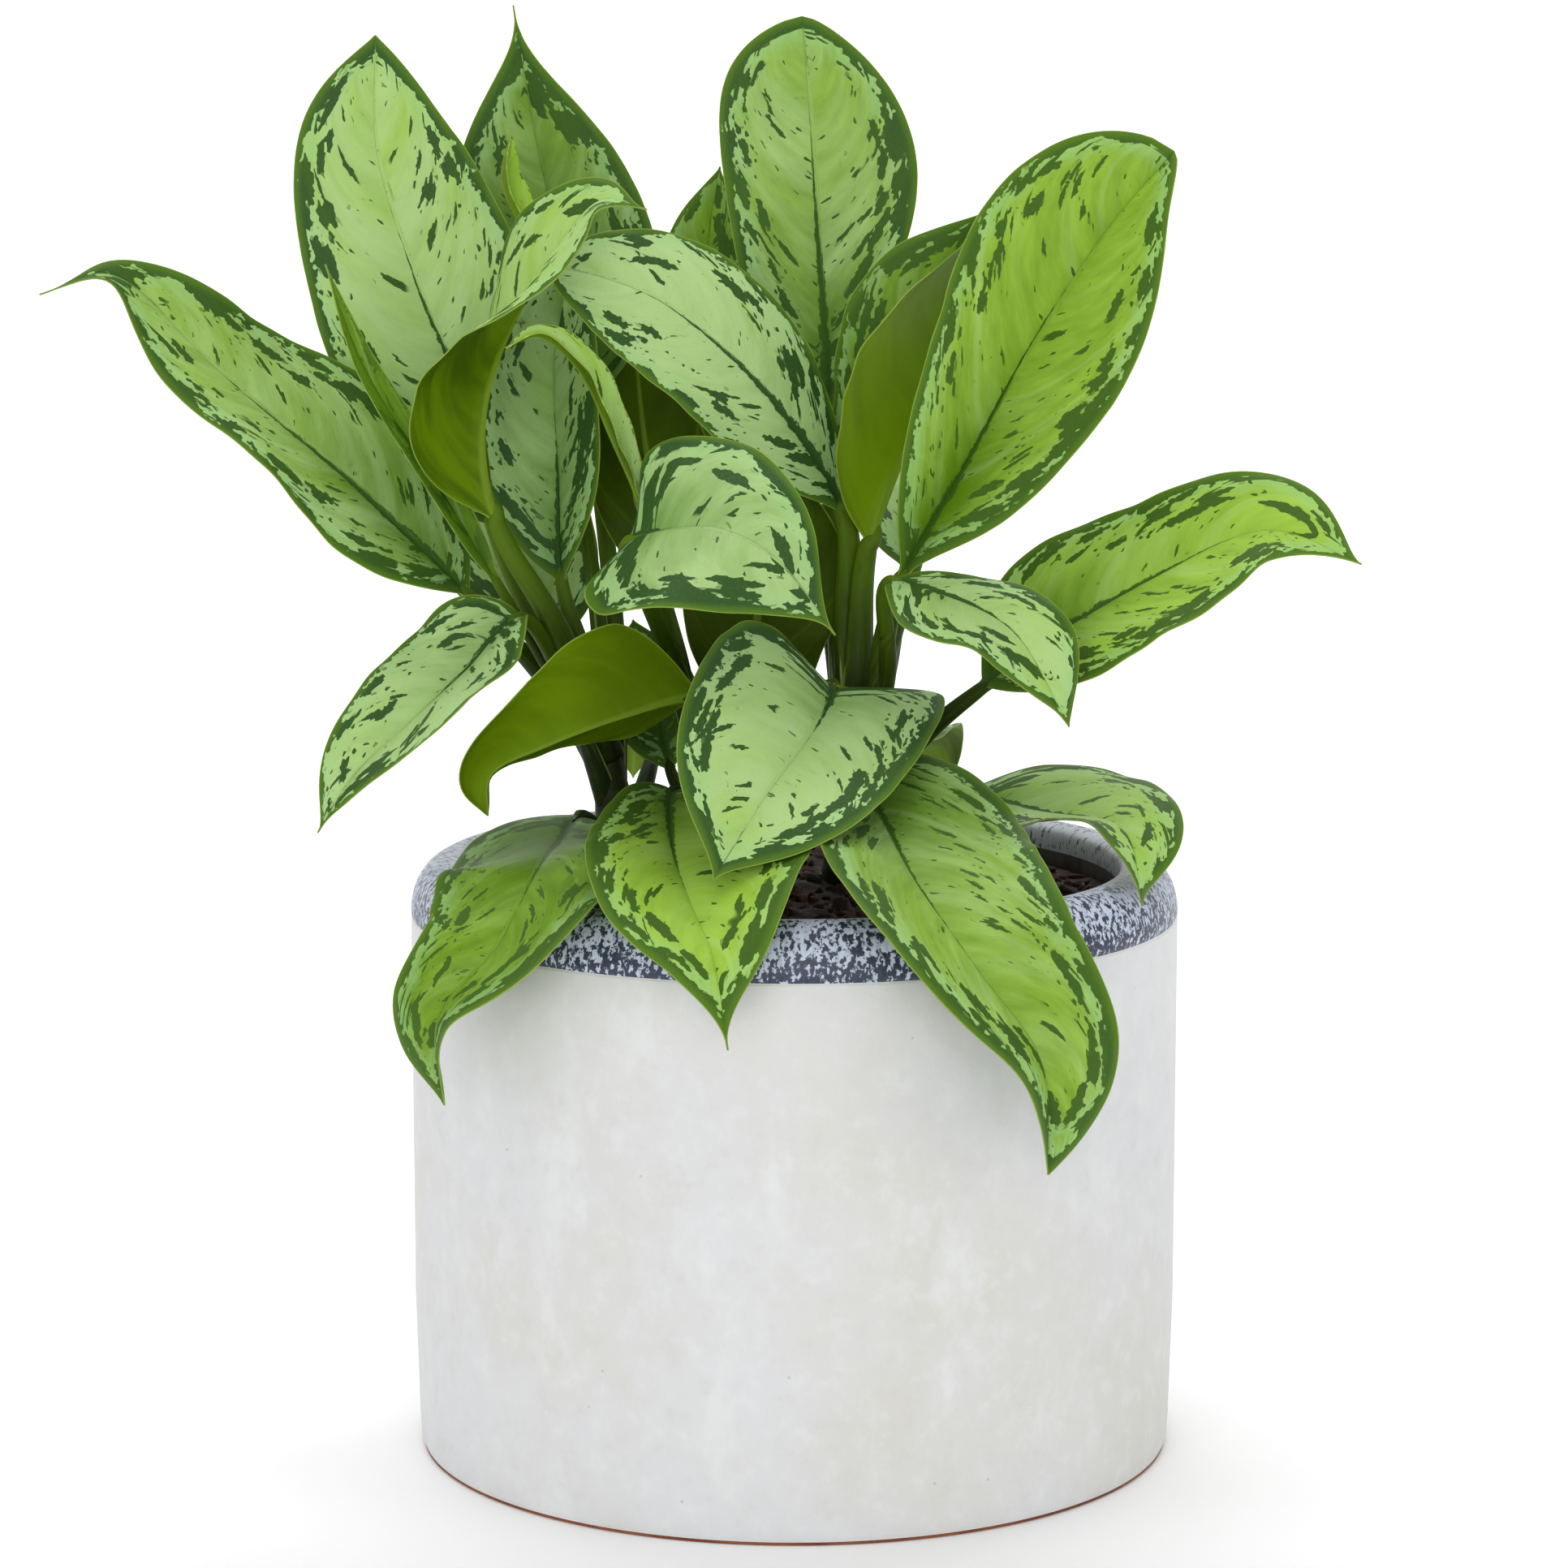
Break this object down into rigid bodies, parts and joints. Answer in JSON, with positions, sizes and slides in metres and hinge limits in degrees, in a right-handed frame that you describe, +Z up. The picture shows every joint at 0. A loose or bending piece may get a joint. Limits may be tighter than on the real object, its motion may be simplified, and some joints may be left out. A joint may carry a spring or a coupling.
{
  "type": "potted chinese evergreen",
  "caption": "Leafy house plant with broad silver-variegated leaves on long leaf stalks, rooted in bark-topped soil in a round glazed pot with a flat foot.",
  "frame": {"origin": "centre of the pot's flat underside", "axes": "+Z up out of the pot, -Y to the front as pictured, +X to the right"},
  "size_m": [0.3356, 0.2535, 0.3761],
  "materials": {
    "pot_glaze": "off-white faintly mottled satin glaze, a speckled dark blue and pale grey-blue glaze on the rolled rim, bare terracotta at the foot",
    "soil_and_bark": "dark damp potting soil with reddish-brown bark chips, rough",
    "stem": "living green canes and leaf stalks, satin, with pale papery sheath edges",
    "leaf": "glossy leaf blade, silver-green centre, dark green broken margin and dashes along the veins, olive underside"
  },
  "bodies": {
    "root": {"pot": "pot_glaze", "soil": "soil_and_bark", "stem_left": "stem", "stem_middle": "stem", "stem_right": "stem", "leaf_far_left": "leaf", "leaf_upper_left": "leaf", "leaf_curled": "leaf", "leaf_narrow": "leaf", "leaf_vertical": "leaf", "leaf_back_left": "leaf", "leaf_young_rolled": "leaf", "leaf_center": "leaf", "leaf_front_curved": "leaf", "leaf_top_center": "leaf", "leaf_upper_right": "leaf", "leaf_behind_right": "leaf", "leaf_back_mid": "leaf", "leaf_back_small": "leaf", "leaf_young_arch": "leaf", "leaf_front_center": "leaf", "leaf_small_right": "leaf", "leaf_right_arch": "leaf", "leaf_right_low": "leaf", "leaf_front_right": "leaf", "leaf_front_low_center": "leaf", "leaf_front_left_low": "leaf", "leaf_left_mid": "leaf", "leaf_left_fold": "leaf", "leaf_inner_striped": "leaf", "leaf_inner_low": "leaf", "leaf_back_low_left": "leaf", "leaf_back_low_right": "leaf", "leaf_back_out_left": "leaf", "leaf_back_out_center": "leaf", "leaf_back_out_right": "leaf", "leaf_back_high_right": "leaf", "leaf_inner_dark": "leaf"}
  },
  "joints": []
}
